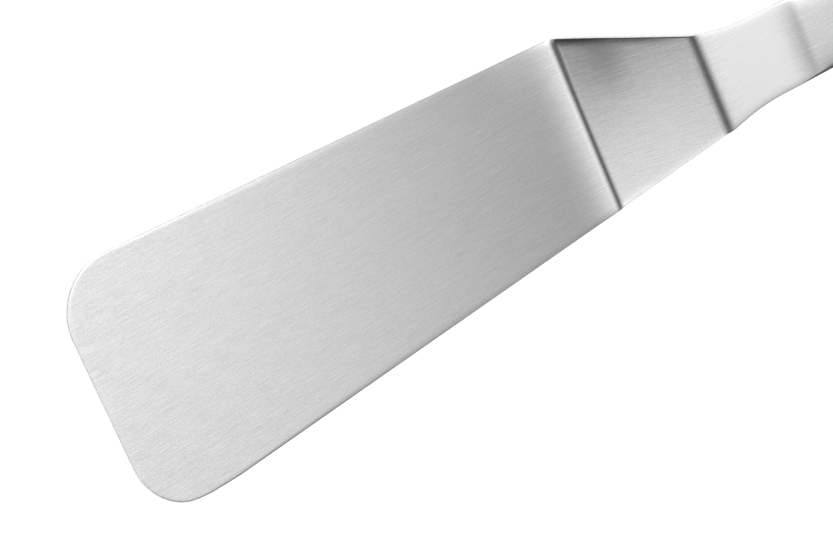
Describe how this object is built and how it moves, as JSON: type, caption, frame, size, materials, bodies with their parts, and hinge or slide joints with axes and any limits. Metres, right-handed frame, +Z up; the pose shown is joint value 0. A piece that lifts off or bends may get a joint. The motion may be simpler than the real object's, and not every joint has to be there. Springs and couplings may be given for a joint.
{
  "type": "angled spatula",
  "caption": "All-steel angled spatula: a broad thin blade with round front corners, cranked up to a waisted neck and a hollow welded handle, for turning and lifting food.",
  "frame": {"origin": "middle of the blade's flat underside, halfway between its front edge and its first bend line", "axes": "+X along the spatula from the blade's front edge to the handle, +Z up out of the blade's upper face, y = 0 the plane of symmetry"},
  "size_m": [0.2657, 0.054, 0.0427],
  "materials": {
    "blade_steel": "satin",
    "handle_steel": "satin",
    "weld_steel": "satin",
    "sand": "matte"
  },
  "bodies": {
    "root": {"blade": "blade_steel", "neck_weld": "weld_steel", "handle_upper_shell": "handle_steel", "handle_lower_shell": "handle_steel", "seam_weld": "weld_steel", "sand_ballast": "sand"}
  },
  "joints": []
}
